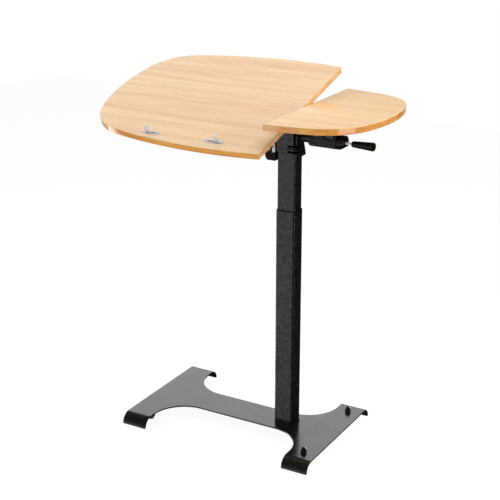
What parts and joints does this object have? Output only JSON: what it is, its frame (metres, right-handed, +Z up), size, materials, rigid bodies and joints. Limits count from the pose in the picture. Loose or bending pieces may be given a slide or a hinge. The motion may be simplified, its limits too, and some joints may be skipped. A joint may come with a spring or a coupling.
{
  "type": "mobile computer desk",
  "caption": "Height-adjustable mobile desk with a tilting main top, a fixed side top, a gas-spring column and an H-shaped steel base on casters",
  "frame": {"origin": "on the floor, under the middle of the desk's box", "axes": "+X along the desk towards the fixed side top and its lever, +Y to the back, +Z up"},
  "size_m": [0.761, 0.4672, 0.9677],
  "materials": {
    "black_coat": "semi-gloss black powder coat with a fine grain",
    "black_plastic": "black moulded plastic, satin",
    "grey_rubber": "dark grey tread",
    "plated_steel": "zinc-plated steel",
    "satin_steel": "bright satin steel",
    "light_wood": "clear-lacquered light beech, grain along the desk"
  },
  "bodies": {
    "base": {"base_plate": "black_coat", "outer_tube": "black_coat", "upper_glide": "black_plastic", "column_end_block": "plated_steel", "gas_spring_rod": "satin_steel", "caster_plate_left_front": "plated_steel", "caster_plate_left_back": "plated_steel", "caster_plate_right_front": "plated_steel", "caster_plate_right_back": "plated_steel", "brake_bracket_front": "black_coat", "brake_bracket_back": "black_coat"},
    "fork_left_front": {"caster_fork_left_front": "plated_steel", "caster_axle_left_front": "plated_steel"},
    "wheel_left_front": {"caster_wheel_left_front": "grey_rubber"},
    "fork_left_back": {"caster_fork_left_back": "plated_steel", "caster_axle_left_back": "plated_steel"},
    "wheel_left_back": {"caster_wheel_left_back": "grey_rubber"},
    "fork_right_front": {"caster_fork_right_front": "plated_steel", "caster_axle_right_front": "plated_steel"},
    "wheel_right_front": {"caster_wheel_right_front": "grey_rubber"},
    "fork_right_back": {"caster_fork_right_back": "plated_steel", "caster_axle_right_back": "plated_steel"},
    "wheel_right_back": {"caster_wheel_right_back": "grey_rubber"},
    "brake_front": {"brake_lever_front": "black_plastic"},
    "plunger_front": {"brake_plunger_front": "plated_steel"},
    "brake_back": {"brake_lever_back": "black_plastic"},
    "plunger_back": {"brake_plunger_back": "plated_steel"},
    "carriage": {"inner_tube": "black_coat", "lower_glide": "black_plastic", "tube_strap": "black_coat", "gas_spring_cylinder": "black_coat", "top_flange": "black_coat", "head_box": "black_coat", "crank_bracket": "satin_steel", "crank_pin": "plated_steel", "axle_stub": "plated_steel", "neck_tube": "black_coat", "lever_housing": "black_coat", "housing_cap": "black_plastic", "fulcrum_bolt": "black_coat", "side_bracket": "black_coat", "side_top": "light_wood", "tilt_stop_block": "black_coat", "tilt_stop_screw": "satin_steel"},
    "tilting_top": {"main_top": "light_wood", "tilt_bracket": "black_coat", "tilt_clamp": "black_coat", "ledge_plate_left": "satin_steel", "ledge_plate_right": "satin_steel", "ledge_pin_left": "plated_steel", "ledge_pin_right": "plated_steel"},
    "hand_lever": {"lever_rod": "plated_steel", "lever_grip": "black_plastic"},
    "release_pull": {"pull_rod": "satin_steel"},
    "crank": {"release_crank": "plated_steel"},
    "valve": {"valve_pin": "satin_steel"},
    "ledge_left": {"ledge_tab_left": "satin_steel"},
    "ledge_right": {"ledge_tab_right": "satin_steel"}
  },
  "joints": [
    {"name": "caster_swivel_left_front", "type": "hinge", "parent": "base", "child": "fork_left_front", "pos_m": [-0.2583, -0.10643, 0.0295], "axis": [0, 0, 1], "continuous": true},
    {"name": "caster_spin_left_front", "type": "hinge", "parent": "fork_left_front", "child": "wheel_left_front", "pos_m": [-0.2583, -0.09842, 0.012], "axis": [1, 0, 0], "continuous": true},
    {"name": "caster_swivel_left_back", "type": "hinge", "parent": "base", "child": "fork_left_back", "pos_m": [-0.2583, 0.12898, 0.0295], "axis": [0, 0, 1], "continuous": true},
    {"name": "caster_spin_left_back", "type": "hinge", "parent": "fork_left_back", "child": "wheel_left_back", "pos_m": [-0.2583, 0.13698, 0.012], "axis": [1, 0, 0], "continuous": true},
    {"name": "caster_swivel_right_front", "type": "hinge", "parent": "base", "child": "fork_right_front", "pos_m": [0.2257, -0.11872, 0.0295], "axis": [0, 0, 1], "continuous": true},
    {"name": "caster_spin_right_front", "type": "hinge", "parent": "fork_right_front", "child": "wheel_right_front", "pos_m": [0.2257, -0.11073, 0.012], "axis": [1, 0, 0], "continuous": true},
    {"name": "caster_swivel_right_back", "type": "hinge", "parent": "base", "child": "fork_right_back", "pos_m": [0.2257, 0.14128, 0.0295], "axis": [0, 0, 1], "continuous": true},
    {"name": "caster_spin_right_back", "type": "hinge", "parent": "fork_right_back", "child": "wheel_right_back", "pos_m": [0.2257, 0.14927, 0.012], "axis": [1, 0, 0], "continuous": true},
    {"name": "foot_brake_front", "type": "hinge", "parent": "base", "child": "brake_front", "pos_m": [0.2257, -0.11872, 0.0435], "axis": [1, 0, 0], "range_deg": [0, 90]},
    {"name": "brake_push_front", "type": "slide", "parent": "base", "child": "plunger_front", "axis": [0, 0, -1], "range_m": [0, 0.0012]},
    {"name": "foot_brake_back", "type": "hinge", "parent": "base", "child": "brake_back", "pos_m": [0.2257, 0.14128, 0.0435], "axis": [1, 0, 0], "range_deg": [0, 90]},
    {"name": "brake_push_back", "type": "slide", "parent": "base", "child": "plunger_back", "axis": [0, 0, -1], "range_m": [0, 0.0012]},
    {"name": "column_lift", "type": "slide", "parent": "base", "child": "carriage", "axis": [0, 0, 1], "range_m": [-0.135, 0.235]},
    {"name": "main_top_tilt", "type": "hinge", "parent": "carriage", "child": "tilting_top", "pos_m": [0.1077, 0.01128, 0.8235], "axis": [1, 0, 0], "range_deg": [-16.64, 9.36]},
    {"name": "lift_lever", "type": "hinge", "parent": "carriage", "child": "hand_lever", "pos_m": [0.2042, 0.01128, 0.8305], "axis": [0, -1, 0], "range_deg": [0, 7], "stiffness_Nm_per_rad": 0.6},
    {"name": "pull_rod_slide", "type": "slide", "parent": "carriage", "child": "release_pull", "axis": [1, 0, 0], "range_m": [0, 0.001]},
    {"name": "crank_turn", "type": "hinge", "parent": "carriage", "child": "crank", "pos_m": [0.0957, 0.01128, 0.8115], "axis": [0, 1, 0], "range_deg": [0, 5]},
    {"name": "valve_press", "type": "slide", "parent": "carriage", "child": "valve", "axis": [0, 0, -1], "range_m": [0, 0.001]},
    {"name": "ledge_flip_left", "type": "hinge", "parent": "tilting_top", "child": "ledge_left", "pos_m": [-0.16925, -0.20149, 0.83871], "axis": [0, 0.9581, 0.2864], "range_deg": [0, 90]},
    {"name": "ledge_flip_right", "type": "hinge", "parent": "tilting_top", "child": "ledge_right", "pos_m": [0.02505, -0.20149, 0.83871], "axis": [0, -0.9581, -0.2864], "range_deg": [0, 90]}
  ],
  "couplings": [
    {"joint": "pull_rod_slide", "follows": "lift_lever", "m_per_rad": 0.007},
    {"joint": "crank_turn", "follows": "lift_lever", "ratio": 0.58333},
    {"joint": "valve_press", "follows": "lift_lever", "m_per_rad": 0.007},
    {"joint": "brake_push_front", "follows": "foot_brake_front", "m_per_rad": 0.00076394},
    {"joint": "brake_push_back", "follows": "foot_brake_back", "m_per_rad": 0.00076394}
  ]
}
